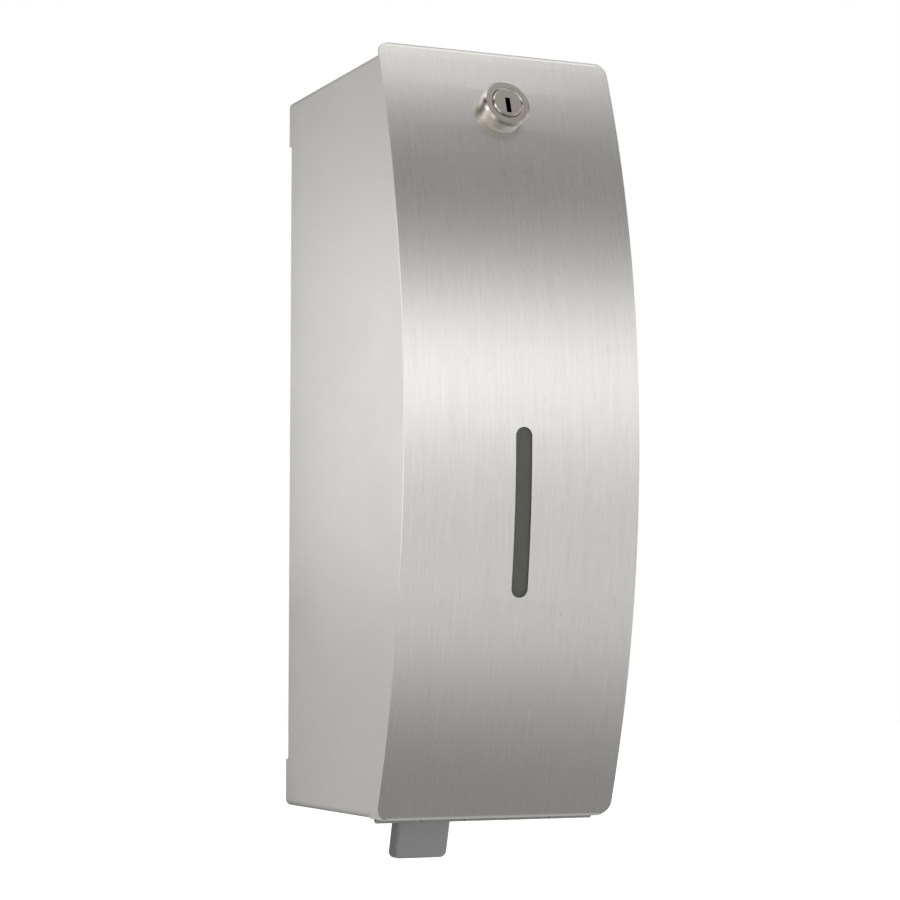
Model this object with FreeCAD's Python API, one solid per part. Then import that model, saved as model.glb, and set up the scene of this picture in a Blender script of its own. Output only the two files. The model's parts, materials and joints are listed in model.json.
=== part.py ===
import FreeCAD, Part
import math
import os

# Wall mounted soap dispenser: a folded sheet-metal case on a back plate, a door curved from top
# to bottom that hinges at its lower edge, a cam lock, a soap tank with a hinged filling lid, and
# a piston pump worked by a lever that hangs under the case.
# Millimetres. Origin at the middle of the wall face, wall on +Y, door facing -Y, +Z up.

SHEET = 1.0  # stainless sheet of the case and the door

# door
DOOR_W = 110.0
DOOR_TOP = 168.5
DOOR_BOTTOM = -165.3
DOOR_FRONT_Y = -149.3  # the foremost point of the curved face
DOOR_ARC_R = 469.1  # radius of the outer face, seen from the side
DOOR_ARC_Z = -0.25
DOOR_ARC_Y = DOOR_FRONT_Y + DOOR_ARC_R
DOOR_CORNER_R = 5.5
DOOR_CORNER_SET = (0.7, 0.35)  # how far the corners stand inside the folded lower and upper edges
DOOR_BEND_R = 3.0
DOOR_FLANGE_HALF_W = 50.3  # the folded edges stop short of the corners
DOOR_BOTTOM_FLANGE_Y = -112.2
DOOR_TOP_FLANGE_Y = -111.0

# case
CASE_HALF_W = 52.0
CASE_HALF_H = 164.9
CASE_BEND_R = 3.0
RELIEF_R = 0.45  # the hole where the bottom bend ends
RELIEF_Z = -162.0
DOOR_GAP = 0.4  # between the door's inner face and the case's front edges
CASE_REAR_Y = -0.8  # the back plate stands a little proud of the case
SIDE_REAR_Y = -3.7  # the sides stand off the wall between the two end lips
LIP_Z = 143.6  # where the end lips begin
BOTTOM_FRONT_Y = -105.2  # the bottom sheet stops here, to clear the hinge
BOTTOM_OPENING = (-21.0, 21.0, -80.0, -22.0)
PLATE = 1.5  # back plate and brackets
PLATE_FLANGE_Y = -14.0
WALL_HOLE_R = 2.75
WALL_HOLE_X = 32.0
WALL_HOLE_Z = 115.0

# door hinge
HINGE_Y = -108.6
HINGE_Z = -164.5
HINGE_PIN_R = 1.25
KNUCKLE_R = 2.3
HINGE_HALF_W = 50.7
KNUCKLE_GAP = 0.4
DOOR_KNUCKLES = 3
CASE_KNUCKLES = 2
RUNNING = 0.05  # radial clearance of every pin in its bore

# door frame behind the skin
FRAME_HALF_W = 50.2
FRAME_DEPTH = 10.0
FRAME_TOP = 161.6
RAIL_BOTTOM = -157.0
FRAME_WINDOW = (-38.0, 38.0, -128.0, 112.0)

# sight window
SLOT_W = 7.6
SLOT_TOP = 0.8
SLOT_BOTTOM = -71.3
LENS_MARGIN = 4.3
LENS_T = 2.0

# cam lock
LOCK_FACE = FreeCAD.Vector(0, -132.9, 143.1)
LOCK_TILT = 17.8  # degrees the lock looks up
LOCK_FACE_R = 9.95
LOCK_COLLAR_R = 11.0
LOCK_BODY_R = 8.5
LOCK_BODY_LEN = 19.5
WASHER_DEPTH = 8.0  # below the lock's face, just clear of the door frame's curved rear face
LOCK_BORE_R = 6.78
PLUG_R = LOCK_BORE_R - RUNNING
BORE_CHAMFER = 0.6
PLUG_RISE = 0.5  # the barrel stands proud of the face
PLUG_SQUARE = 7.0
KEY_SLOT_W = 2.3
KEY_SLOT_H = 7.2
KEY_SLOT_DROP = 1.4  # its middle below the lock's axis
CAM_FRONT = 20.0
CAM_T = 2.0
CAM_W = 10.0
CAM_REACH = 22.0
KEEPER_Y = -110.9
KEEPER_Z = 151.0

# tank
TANK_HALF_W = 42.0
TANK_Y = (-108.0, -26.0)
TANK_Z = (-110.0, 92.0)
TANK_WALL = 1.8
TANK_R = 9.0
MOUTH_HALF_W = 30.0
MOUTH_Y = (-91.0, -48.0)
COLLAR_TOP = 98.0
COLLAR_WALL = 2.0
LID_AXIS_Y = -40.0
LID_AXIS_Z = 100.0
LID_PIN_R = 1.25
LID_BARREL_R = 2.8

# pump, with its inlet and outlet on one upright axis
PORT_Y = -70.0
PUMP_Z = -138.0  # the piston's axis
CYLINDER_R = 10.0
BORE_R = 8.0
BORE_FRONT_Y = -74.5
CYLINDER_REAR_Y = -53.0
NECK_R = 11.0
NECK_LEN = 7.5
NECK_BORE_R = 8.0
PORT_R = 3.2
BALL_R = 2.5
SEAT_R = 1.8
BALL_GAP = 0.05
BALL_LIFT = 1.5
ROD_R = 3.0
BUTTON_R = 6.5
BUTTON_Y = (-36.0, -33.0)
OUTLET_FOOT_Z = -160.0
NOZZLE_TIP_Z = -168.8

# lever
LEVER_AXIS_Y = -30.0
LEVER_AXIS_Z = -154.0
LEVER_PIN_R = 2.0
LEVER_W = 26.2
LEVER_LEAN = 15.8  # degrees the paddle leans back towards the wall
LEVER_DEPTH = 7.2  # front to back of the paddle, a channel open at the back
LEVER_WALL = 2.2
LEVER_BOTTOM_Z = -188.1
PADDLE_TOP_Z = -158.5
PADDLE_BEND_Z = -172.0  # the front face is upright above this
PADDLE_WEB_Z = -167.0  # the channel is closed above this
LEVER_FRONT_Y = -45.0  # the paddle's front face at the height of the case's underside
PADDLE_CORNER_R = 3.2  # its two lower corners
PADDLE_EDGE_R = 2.0  # around its front face
PADDLE_INNER_R = 1.4  # the corners of its hollow
LEVER_HUB_R = 5.0
LEVER_NOSE_R = 3.0  # the rounded end of the arm that pushes the button
LEVER_ARM_HALF_W = 5.0
EAR_X = 18.0  # inner faces of the bracket's ears

V = FreeCAD.Vector
X_AXIS = V(1, 0, 0)
Y_AXIS = V(0, 1, 0)
Z_AXIS = V(0, 0, 1)


def box(x, y, z):
    """A box from three (low, high) pairs."""
    return Part.makeBox(x[1] - x[0], y[1] - y[0], z[1] - z[0], V(x[0], y[0], z[0]))


def rod(radius, start, end):
    """A cylinder from one point to another."""
    along = end - start
    return Part.makeCylinder(radius, along.Length, start, along)


def tube(outer, inner, start, end):
    return rod(outer, start, end).cut(rod(inner, start, end))


def turned(profile, centre, axis):
    """Revolve (radius, distance along the axis) points about an upright axis."""
    corners = [V(radius, 0, height) for radius, height in profile]
    face = Part.Face(Part.makePolygon(corners + corners[:1]))
    solid = face.revolve(V(0, 0, 0), Z_AXIS, 360)
    solid.Placement = FreeCAD.Placement(centre, FreeCAD.Rotation(Z_AXIS, axis))
    return solid


def side_prism(points, half_w):
    """Extrude a (y, z) outline to both sides of the middle plane."""
    corners = [V(-half_w, y, z) for y, z in points]
    face = Part.Face(Part.makePolygon(corners + corners[:1]))
    return face.extrude(V(2 * half_w, 0, 0))


def rounded_prism(x, z, radius, y):
    """A rectangle in X and Z with rounded corners, extruded along Y."""
    block = box(x, y, z)
    upright = [edge for edge in block.Edges if abs(edge.tangentAt(edge.FirstParameter).y) > 0.99]
    return block.makeFillet(radius, upright)


def rounded_post(x, y, radius, z):
    """A rectangle in X and Y with rounded corners, extruded along Z."""
    block = box(x, y, z)
    upright = [edge for edge in block.Edges if abs(edge.tangentAt(edge.FirstParameter).z) > 0.99]
    return block.makeFillet(radius, upright)


def arc_y(radius, z):
    """Where a circle about the door's arc centre stands at a height, on the door's side."""
    return DOOR_ARC_Y - math.sqrt(radius ** 2 - (z - DOOR_ARC_Z) ** 2)


def door_band(depth, z, x):
    """A curved sheet parallel to the door's face, between two depths behind it."""
    outer = DOOR_ARC_R - depth[0]
    inner = DOOR_ARC_R - depth[1]
    middle = (z[0] + z[1]) / 2
    out = [V(x[0], arc_y(outer, height), height) for height in (z[0], middle, z[1])]
    back = [V(x[0], arc_y(inner, height), height) for height in (z[1], middle, z[0])]
    edges = [
        Part.Arc(*out).toShape(),
        Part.makeLine(out[2], back[0]),
        Part.Arc(*back).toShape(),
        Part.makeLine(back[2], out[0]),
    ]
    return Part.Face(Part.Wire(edges)).extrude(V(x[1] - x[0], 0, 0))


def behind_door(depth):
    """Everything behind a surface parallel to the door's face."""
    start = V(-100, DOOR_ARC_Y, DOOR_ARC_Z)
    return rod(DOOR_ARC_R - depth, start, start + X_AXIS * 200)


def lock_frame():
    """Local X along X, Y up the door, Z out of the lock's face."""
    tilt = math.radians(LOCK_TILT)
    up = V(0, math.sin(tilt), math.cos(tilt))
    out = V(0, -math.cos(tilt), math.sin(tilt))
    return FreeCAD.Placement(LOCK_FACE, FreeCAD.Rotation(X_AXIS, up, out, "ZXY"))


def on_lock(shape):
    """Carry a shape modelled about the lock's axis to its place in the door."""
    shape.Placement = lock_frame().multiply(shape.Placement)
    return shape


def knuckle_spans():
    """The hinge's knuckles from left to right, in turn on the door and on the case."""
    count = DOOR_KNUCKLES + CASE_KNUCKLES
    pitch = 2 * HINGE_HALF_W / count
    spans = []
    for index in range(count):
        low = -HINGE_HALF_W + index * pitch
        high = low + pitch
        low += KNUCKLE_GAP / 2 if index else 0
        high -= KNUCKLE_GAP / 2 if index < count - 1 else 0
        spans.append((low, high))
    return spans[0::2], spans[1::2]


def at_hinge(x):
    return V(x, HINGE_Y, HINGE_Z)


# ---- case ---------------------------------------------------------------------------------------

def case_shell():
    """Top, bottom and sides folded from one sheet, cut to the door's curve in front."""
    depth = (DOOR_FRONT_Y, CASE_REAR_Y)
    outer = rounded_prism((-CASE_HALF_W, CASE_HALF_W), (-CASE_HALF_H, CASE_HALF_H), CASE_BEND_R, depth)
    inner_w = CASE_HALF_W - SHEET
    inner_h = CASE_HALF_H - SHEET
    inner = rounded_prism((-inner_w, inner_w), (-inner_h, inner_h), CASE_BEND_R - SHEET, depth)
    shell = outer.cut(inner).common(behind_door(SHEET + DOOR_GAP))
    for side in (-1, 1):
        low = min(side * (inner_w - 1), side * (CASE_HALF_W + 1))
        recess = box((low, low + 3), (SIDE_REAR_Y, 1), (-LIP_Z, LIP_Z))
        corners = [edge for edge in recess.Edges
                   if abs(edge.tangentAt(edge.FirstParameter).x) > 0.99
                   and edge.CenterOfMass.y < SIDE_REAR_Y + 0.1]
        shell = shell.cut(recess.makeFillet(1.5, corners))
    front = (DOOR_FRONT_Y, BOTTOM_FRONT_Y)
    foot_z = (-CASE_HALF_H - 1, -CASE_HALF_H + CASE_BEND_R + 0.1)
    shell = shell.cut(box((-CASE_HALF_W - 1, CASE_HALF_W + 1), front, foot_z))
    for side in (-1, 1):
        low = min(side * inner_w, side * CASE_HALF_W)
        foot = box((low, low + SHEET), front, (-CASE_HALF_H, foot_z[1]))
        shell = shell.fuse(foot.common(behind_door(SHEET + DOOR_GAP)))
        slit = (BOTTOM_FRONT_Y - 0.1, BOTTOM_FRONT_Y + 0.2)
        shell = shell.cut(box((low - 2, low + 3), slit, (-CASE_HALF_H - 1, RELIEF_Z)))
        relief = V(low - 2, BOTTOM_FRONT_Y + 0.1, RELIEF_Z)
        shell = shell.cut(rod(RELIEF_R, relief, relief + X_AXIS * 5))
    x0, x1, y0, y1 = BOTTOM_OPENING
    opening = rounded_post((x0, x1), (y0, y1), 6, (-CASE_HALF_H - 1, -CASE_HALF_H + 2))
    return shell.cut(opening).removeSplitter()


def back_plate():
    """A shallow channel inside the case, with its back flush with the case's end lips."""
    half_w = CASE_HALF_W - SHEET
    height = (-CASE_HALF_H + SHEET, CASE_HALF_H - SHEET)
    outer = box((-half_w, half_w), (PLATE_FLANGE_Y, 0), height)
    bends = [edge for edge in outer.Edges
             if abs(edge.tangentAt(edge.FirstParameter).z) > 0.99 and edge.CenterOfMass.y > -0.1]
    outer = outer.makeFillet(2.0, bends)
    inner = box((-half_w + PLATE, half_w - PLATE), (PLATE_FLANGE_Y - 1, -PLATE), height)
    bends = [edge for edge in inner.Edges
             if abs(edge.tangentAt(edge.FirstParameter).z) > 0.99 and edge.CenterOfMass.y > -PLATE - 0.1]
    plate = outer.cut(inner.makeFillet(0.5, bends))
    corner = CASE_BEND_R - SHEET
    trim = rounded_prism((-half_w, half_w), height, corner, (PLATE_FLANGE_Y - 1, 1))
    plate = plate.common(trim)
    for x in (-WALL_HOLE_X, WALL_HOLE_X):
        for z in (-WALL_HOLE_Z, WALL_HOLE_Z):
            plate = plate.cut(rod(WALL_HOLE_R, V(x, 1, z), V(x, -PLATE - 1, z)))
    for point in bracket_screw_points():
        plate = plate.cut(rod(2.0, point + Y_AXIS * 3, point - Y_AXIS))
    return plate


def hinge_leaf():
    """The case's half of the hinge, lying on the bottom sheet."""
    strip = box((-46, 46), (BOTTOM_FRONT_Y, -92), (-CASE_HALF_H + SHEET, -CASE_HALF_H + 2 * SHEET))
    leaf = strip
    for low, high in knuckle_spans()[1]:
        leaf = leaf.fuse(rod(KNUCKLE_R, at_hinge(low), at_hinge(high)))
        tongue = box((low, high), (HINGE_Y, BOTTOM_FRONT_Y), (-CASE_HALF_H + SHEET, -CASE_HALF_H + 2 * SHEET))
        leaf = leaf.fuse(tongue)
    leaf = leaf.cut(rod(HINGE_PIN_R, at_hinge(-60), at_hinge(60)))
    return leaf.removeSplitter()


def hinge_pin():
    pin = rod(HINGE_PIN_R, at_hinge(-HINGE_HALF_W + 0.5), at_hinge(HINGE_HALF_W - 0.5))
    return pin.makeChamfer(0.25, [edge for edge in pin.Edges if edge.Closed])


def lock_keeper():
    """A bent plate under the case's top that the turned cam goes behind."""
    top = CASE_HALF_H - SHEET
    foot = box((-14, 14), (KEEPER_Y, -96), (top - SHEET, top))
    stop = box((-12, 12), (KEEPER_Y, KEEPER_Y + SHEET), (KEEPER_Z, top))
    lower = [edge for edge in stop.Edges
             if abs(edge.tangentAt(edge.FirstParameter).y) > 0.99 and edge.CenterOfMass.z < KEEPER_Z + 1]
    return foot.fuse(stop.makeFillet(3, lower)).removeSplitter()


# ---- door ---------------------------------------------------------------------------------------

def folded_skin():
    """The middle of the door's sheet with its top and bottom edges folded back."""
    width = (-DOOR_FLANGE_HALF_W, DOOR_FLANGE_HALF_W)
    sheet = door_band((0, SHEET), (DOOR_BOTTOM, DOOR_TOP), width)
    for low, rear in ((DOOR_BOTTOM, DOOR_BOTTOM_FLANGE_Y), (DOOR_TOP - SHEET, DOOR_TOP_FLANGE_Y)):
        middle = low + SHEET / 2
        flange = box(width, (arc_y(DOOR_ARC_R, middle) + SHEET / 2, rear), (low, low + SHEET))
        sheet = sheet.fuse(flange)
    sheet = sheet.common(behind_door(0)).removeSplitter()
    for height, outer in ((DOOR_BOTTOM, True), (DOOR_BOTTOM + SHEET, False),
                          (DOOR_TOP, True), (DOOR_TOP - SHEET, False)):
        radius = DOOR_BEND_R if outer else DOOR_BEND_R - SHEET
        depth = 0 if outer else SHEET
        corner_y = arc_y(DOOR_ARC_R - depth, height)
        edges = [edge for edge in sheet.Edges
                 if abs(edge.CenterOfMass.z - height) < 0.05
                 and abs(edge.CenterOfMass.y - corner_y) < 0.2
                 and edge.Length > 2 * DOOR_FLANGE_HALF_W - 1]
        sheet = sheet.makeFillet(radius, edges)
    return sheet


def slot_cut(half_w, z, depth):
    """A round-ended upright slot through the door, with a margin given by its half width."""
    x = (-half_w, half_w)
    return rounded_prism(x, z, half_w - 0.01, depth)


def door_skin():
    height = (DOOR_BOTTOM, DOOR_TOP)
    corner_height = (DOOR_BOTTOM + DOOR_CORNER_SET[0], DOOR_TOP - DOOR_CORNER_SET[1])
    width = (-DOOR_W / 2, DOOR_W / 2)
    outline = rounded_prism(width, corner_height, DOOR_CORNER_R, (DOOR_FRONT_Y - 1, -90))
    sheet = door_band((0, SHEET), height, width).common(outline)
    flange = (-DOOR_FLANGE_HALF_W, DOOR_FLANGE_HALF_W)
    middle = box(flange, (DOOR_FRONT_Y - 1, -90), (height[0] - 1, height[1] + 1))
    skin = sheet.cut(middle).fuse(folded_skin())
    skin = skin.cut(slot_cut(SLOT_W / 2, (SLOT_BOTTOM, SLOT_TOP), (DOOR_FRONT_Y - 5, DOOR_FRONT_Y + 20)))
    hole = on_lock(rod(LOCK_BODY_R, V(0, 0, 5), V(0, 0, -30)))
    return skin.cut(hole).removeSplitter()


def door_frame():
    """The stiffening frame welded behind the skin, with the door's half of the hinge."""
    width = (-FRAME_HALF_W, FRAME_HALF_W)
    plate_z = (HINGE_Z + KNUCKLE_R - SHEET, HINGE_Z + KNUCKLE_R)
    low = plate_z[0]
    web = (SHEET, 2 * SHEET)
    frame = door_band(web, (low, FRAME_TOP), width)
    x0, x1, z0, z1 = FRAME_WINDOW
    frame = frame.cut(rounded_prism((x0, x1), (z0, z1), 8, (DOOR_FRONT_Y, -100)))
    top_y = (arc_y(DOOR_ARC_R - 1.5 * SHEET, FRAME_TOP), KEEPER_Y - 1.4)
    frame = frame.fuse(box(width, top_y, (FRAME_TOP - SHEET, FRAME_TOP)))
    ours, theirs = knuckle_spans()
    foot = box(width, (arc_y(DOOR_ARC_R - 1.5 * SHEET, low), HINGE_Y), plate_z)
    for span in theirs:
        gap = (span[0] - KNUCKLE_GAP, span[1] + KNUCKLE_GAP)
        foot = foot.cut(box(gap, (HINGE_Y - KNUCKLE_R - 0.7, HINGE_Y + 1), (low - 1, low + 3)))
    frame = frame.fuse(foot)
    for span in ours:
        frame = frame.fuse(rod(KNUCKLE_R, at_hinge(span[0]), at_hinge(span[1])))
    frame = frame.cut(rod(HINGE_PIN_R + RUNNING, at_hinge(-60), at_hinge(60)))
    hole = on_lock(rod(LOCK_BODY_R, V(0, 0, 5), V(0, 0, -30)))
    frame = frame.cut(hole).cut(folded_skin())
    return frame.common(behind_door(SHEET)).removeSplitter()


def door_rail(side):
    """A curved strip on edge, welded to the rear of the frame along one side."""
    inner = min(side * FRAME_HALF_W, side * (FRAME_HALF_W - SHEET))
    height = (RAIL_BOTTOM, FRAME_TOP - SHEET)
    return door_band((2 * SHEET, SHEET + FRAME_DEPTH), height, (inner, inner + SHEET))


def door_rail_left():
    return door_rail(-1)


def door_rail_right():
    return door_rail(1)


def lens_height(margin):
    return SLOT_BOTTOM - margin, SLOT_TOP + margin


def window_lens():
    """A smoked strip behind the slot, with rounded ends."""
    half_w = SLOT_W / 2 + LENS_MARGIN
    band = door_band((SHEET, SHEET + LENS_T), lens_height(LENS_MARGIN), (-half_w, half_w))
    outline = rounded_prism((-half_w, half_w), lens_height(LENS_MARGIN), 3, (DOOR_FRONT_Y, -130))
    return band.common(outline)


def window_retainer():
    """The frame that clamps the lens against the skin."""
    half_w = SLOT_W / 2 + LENS_MARGIN
    rim = 4.0
    outer_w = half_w + rim
    outer_z = lens_height(LENS_MARGIN + rim)
    depth = (DOOR_FRONT_Y, -130)
    frame = door_band((SHEET, SHEET + LENS_T + SHEET), outer_z, (-outer_w, outer_w))
    frame = frame.common(rounded_prism((-outer_w, outer_w), outer_z, 4, depth))
    fit = 0.1
    pocket = door_band((0, SHEET + LENS_T), lens_height(LENS_MARGIN + fit), (-half_w - fit, half_w + fit))
    frame = frame.cut(pocket)
    view_w = SLOT_W / 2 + 1
    return frame.cut(rounded_prism((-view_w, view_w), lens_height(1), view_w - 0.01, depth))


# ---- lock, modelled about its axis with the face at zero -------------------------------------------

def lock_housing():
    profile = [
        (LOCK_BORE_R, -LOCK_BODY_LEN),
        (LOCK_BORE_R, -BORE_CHAMFER),
        (LOCK_BORE_R + BORE_CHAMFER, 0),
        (LOCK_FACE_R, 0),
        (LOCK_COLLAR_R, -1.05),
        (LOCK_COLLAR_R, -2.2),
        (LOCK_COLLAR_R - 0.5, -2.6),
        (LOCK_COLLAR_R - 0.5, -9),
        (LOCK_BODY_R, -9),
        (LOCK_BODY_R, -LOCK_BODY_LEN),
    ]
    whole = on_lock(turned(profile, V(0, 0, 0), Z_AXIS))
    head = whole.cut(behind_door(0))
    body = whole.common(on_lock(rod(LOCK_BODY_R, V(0, 0, 0), V(0, 0, -LOCK_BODY_LEN))))
    return head.fuse(body).removeSplitter()


def lock_washer():
    top = -WASHER_DEPTH
    return on_lock(tube(LOCK_BODY_R + 3.5, LOCK_BODY_R, V(0, 0, top), V(0, 0, top - 1)))


def lock_nut():
    top = -WASHER_DEPTH - 1
    across = 24.0
    corners = []
    for step in range(7):
        angle = math.radians(60 * step)
        radius = across / 2 / math.cos(math.radians(30))
        corners.append(V(radius * math.cos(angle), radius * math.sin(angle), top - 4))
    hexagon = Part.Face(Part.makePolygon(corners)).extrude(V(0, 0, 4))
    round_off = turned([(0, top), (across / 2, top), (across / 2 + 2, top - 0.9), (across / 2 + 2, top - 3.1),
                        (across / 2, top - 4), (0, top - 4)], V(0, 0, 0), Z_AXIS)
    nut = hexagon.common(round_off).cut(rod(LOCK_BODY_R, V(0, 0, top), V(0, 0, top - 4)))
    return on_lock(nut)


def lock_plug():
    """The barrel the key turns, with its slot upright when the door is free."""
    profile = [
        (0, -LOCK_BODY_LEN),
        (0, PLUG_RISE),
        (PLUG_R - PLUG_RISE, PLUG_RISE),
        (PLUG_R, 0),
        (PLUG_R, -LOCK_BODY_LEN),
    ]
    plug = turned(profile, V(0, 0, 0), Z_AXIS)
    half = PLUG_SQUARE / 2
    plug = plug.fuse(box((-half, half), (-half, half), (-CAM_FRONT - CAM_T, -LOCK_BODY_LEN)))
    half_w = KEY_SLOT_W / 2
    slot_h = (-KEY_SLOT_H / 2 - KEY_SLOT_DROP, KEY_SLOT_H / 2 - KEY_SLOT_DROP)
    plug = plug.cut(box((-half_w, half_w), slot_h, (-9, PLUG_RISE + 1)))
    plug = plug.cut(rod(2, V(0, 0, -30), V(0, 0, -12)))
    return on_lock(plug.removeSplitter())


def lock_cam():
    """Points aside when the door is free, and turns up behind the keeper."""
    half = CAM_W / 2
    blade = box((0, CAM_REACH), (-half, half), (-CAM_FRONT - CAM_T, -CAM_FRONT))
    tip = [edge for edge in blade.Edges
           if abs(edge.tangentAt(edge.FirstParameter).z) > 0.99 and edge.CenterOfMass.x > CAM_REACH - 1]
    blade = blade.makeFillet(3, tip)
    boss = rod(7, V(0, 0, -CAM_FRONT - CAM_T), V(0, 0, -CAM_FRONT))
    square = PLUG_SQUARE / 2
    hole = box((-square, square), (-square, square), (-CAM_FRONT - CAM_T - 1, -CAM_FRONT + 1))
    return on_lock(blade.fuse(boss).cut(hole).removeSplitter())


def cam_screw():
    under = -CAM_FRONT - CAM_T
    profile = [(0, under + 9), (2, under + 9), (2, under), (4.8, under), (4.8, under - 1.4),
               (3.6, under - 2.6), (0, under - 2.6)]
    screw = turned(profile, V(0, 0, 0), Z_AXIS)
    slot = box((-0.5, 0.5), (-5, 5), (under - 3, under - 1.4))
    cross = box((-5, 5), (-0.5, 0.5), (under - 3, under - 1.4))
    return on_lock(screw.cut(slot).cut(cross))


# ---- tank ---------------------------------------------------------------------------------------

def tank_body():
    """A moulded box with a filling mouth, an outlet neck and a lug that hangs on the hook."""
    width = (-TANK_HALF_W, TANK_HALF_W)
    tank = rounded_post(width, TANK_Y, TANK_R, TANK_Z)
    tank = tank.makeFillet(4, [edge for edge in tank.Edges
                               if abs(edge.CenterOfMass.z - TANK_Z[0]) < 0.01])
    wall = TANK_WALL
    inner = rounded_post((width[0] + wall, width[1] - wall), (TANK_Y[0] + wall, TANK_Y[1] - wall),
                         TANK_R - wall, (TANK_Z[0] + wall, TANK_Z[1] - wall))
    inner = inner.makeFillet(2.4, [edge for edge in inner.Edges
                                   if abs(edge.CenterOfMass.z - TANK_Z[0] - wall) < 0.01])
    collar_w = MOUTH_HALF_W + COLLAR_WALL
    collar_y = (MOUTH_Y[0] - COLLAR_WALL, MOUTH_Y[1] + COLLAR_WALL)
    tank = tank.fuse(rounded_post((-collar_w, collar_w), collar_y, 8, (TANK_Z[1] - 1, COLLAR_TOP)))
    neck_end = TANK_Z[0] - NECK_LEN
    tank = tank.fuse(rod(NECK_R, V(0, PORT_Y, TANK_Z[0] + 1), V(0, PORT_Y, neck_end)))
    lug_rear = -12.0
    lug_w = (-25, 25)
    tank = tank.fuse(box(lug_w, (TANK_Y[1] - 1, lug_rear), (70, 72.5)))
    tank = tank.fuse(box(lug_w, (lug_rear - 2.5, lug_rear), (61, 72.5)))
    for side in (-1, 1):
        low = min(side * 20, side * 24)
        ear = box((low, low + 4), (LID_AXIS_Y - 3, LID_AXIS_Y + 3), (TANK_Z[1] - 1, LID_AXIS_Z))
        ear = ear.fuse(rod(3, V(low, LID_AXIS_Y, LID_AXIS_Z), V(low + 4, LID_AXIS_Y, LID_AXIS_Z)))
        tank = tank.fuse(ear)
    tank = tank.cut(inner)
    tank = tank.cut(rounded_post((-MOUTH_HALF_W, MOUTH_HALF_W), MOUTH_Y, 6, (TANK_Z[1] - 5, COLLAR_TOP + 1)))
    tank = tank.cut(rod(NECK_BORE_R, V(0, PORT_Y, TANK_Z[0] + 5), V(0, PORT_Y, neck_end - 1)))
    tank = tank.cut(rod(LID_PIN_R, V(-50, LID_AXIS_Y, LID_AXIS_Z), V(50, LID_AXIS_Y, LID_AXIS_Z)))
    return tank.removeSplitter()


def tank_hook():
    """A plate on the back plate with a shelf and an upturned lip that carries the tank's lug."""
    width = (-28, 28)
    foot = box(width, (-2 * PLATE, -PLATE), (30, 60))
    shelf = box(width, (-21, -PLATE), (60 - PLATE, 60))
    lip = box(width, (-21, -21 + PLATE), (60 - PLATE, 70))
    return foot.fuse(shelf).fuse(lip).removeSplitter()


def tank_lid():
    """The filling lid, hinged at the rear of the mouth."""
    rim = 1.0
    half_w = MOUTH_HALF_W + COLLAR_WALL + rim + 2
    front = MOUTH_Y[0] - COLLAR_WALL - rim - 2
    rear = MOUTH_Y[1] + COLLAR_WALL
    under = COLLAR_TOP + 1.6
    lid = rounded_post((-half_w, half_w), (front, rear + 10), 9, (under - 6.5, under + 2))
    hollow = rounded_post((-half_w + 2, half_w - 2), (front + 2, rear + 12), 7.5, (under - 7, under))
    lid = lid.cut(hollow).cut(box((-50, 50), (rear, rear + 20), (under - 10, under + 5)))
    reach = (rear - 1, LID_AXIS_Y)
    lid = lid.fuse(box((-19.6, 19.6), reach, (under, under + 2)))
    start = V(-19.6, LID_AXIS_Y, LID_AXIS_Z)
    end = V(19.6, LID_AXIS_Y, LID_AXIS_Z)
    lid = lid.fuse(rod(LID_BARREL_R, start, end)).cut(rod(LID_PIN_R + RUNNING, start, end))
    tab = box((-10, 10), (front - 4, front + 1), (under - 0.4, under + 2))
    corners = [edge for edge in tab.Edges
               if abs(edge.tangentAt(edge.FirstParameter).z) > 0.99 and edge.CenterOfMass.y < front - 3]
    return lid.fuse(tab.makeFillet(3, corners)).removeSplitter()


def lid_seal():
    under = COLLAR_TOP + 1.6
    half_w = MOUTH_HALF_W + COLLAR_WALL
    outer_y = (MOUTH_Y[0] - COLLAR_WALL, MOUTH_Y[1] + COLLAR_WALL - 0.2)
    rim = 3.0
    outer = rounded_post((-half_w, half_w), outer_y, 8, (under - 1.5, under))
    inner = rounded_post((-half_w + rim, half_w - rim), (outer_y[0] + rim, outer_y[1] - rim), 5,
                         (under - 2, under + 1))
    return outer.cut(inner)


def lid_pin():
    return rod(LID_PIN_R, V(-24.5, LID_AXIS_Y, LID_AXIS_Z), V(24.5, LID_AXIS_Y, LID_AXIS_Z))


# ---- pump ---------------------------------------------------------------------------------------

NECK_END_Z = TANK_Z[0] - NECK_LEN
FLANGE_TOP_Z = NECK_END_Z - 2.0
FLANGE_T = 3.5
BORE_TOP_Z = PUMP_Z + BORE_R
BORE_BOTTOM_Z = PUMP_Z - BORE_R
INLET_CAGE_TOP = BORE_TOP_Z + 0.6
BALL_CATCH = math.sqrt(BALL_R ** 2 - SEAT_R ** 2)
INLET_BALL_Z = INLET_CAGE_TOP + BALL_CATCH + BALL_GAP
INLET_SEAT_Z = INLET_BALL_Z + BALL_LIFT + BALL_CATCH + BALL_GAP
OUTLET_SEAT_Z = BORE_BOTTOM_Z - 2.6
OUTLET_BALL_Z = OUTLET_SEAT_Z - BALL_CATCH - BALL_GAP


def on_port(z):
    return V(0, PORT_Y, z)


def neck_seal():
    return tube(NECK_R, PORT_R + 1, on_port(FLANGE_TOP_Z), on_port(NECK_END_Z))


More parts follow.
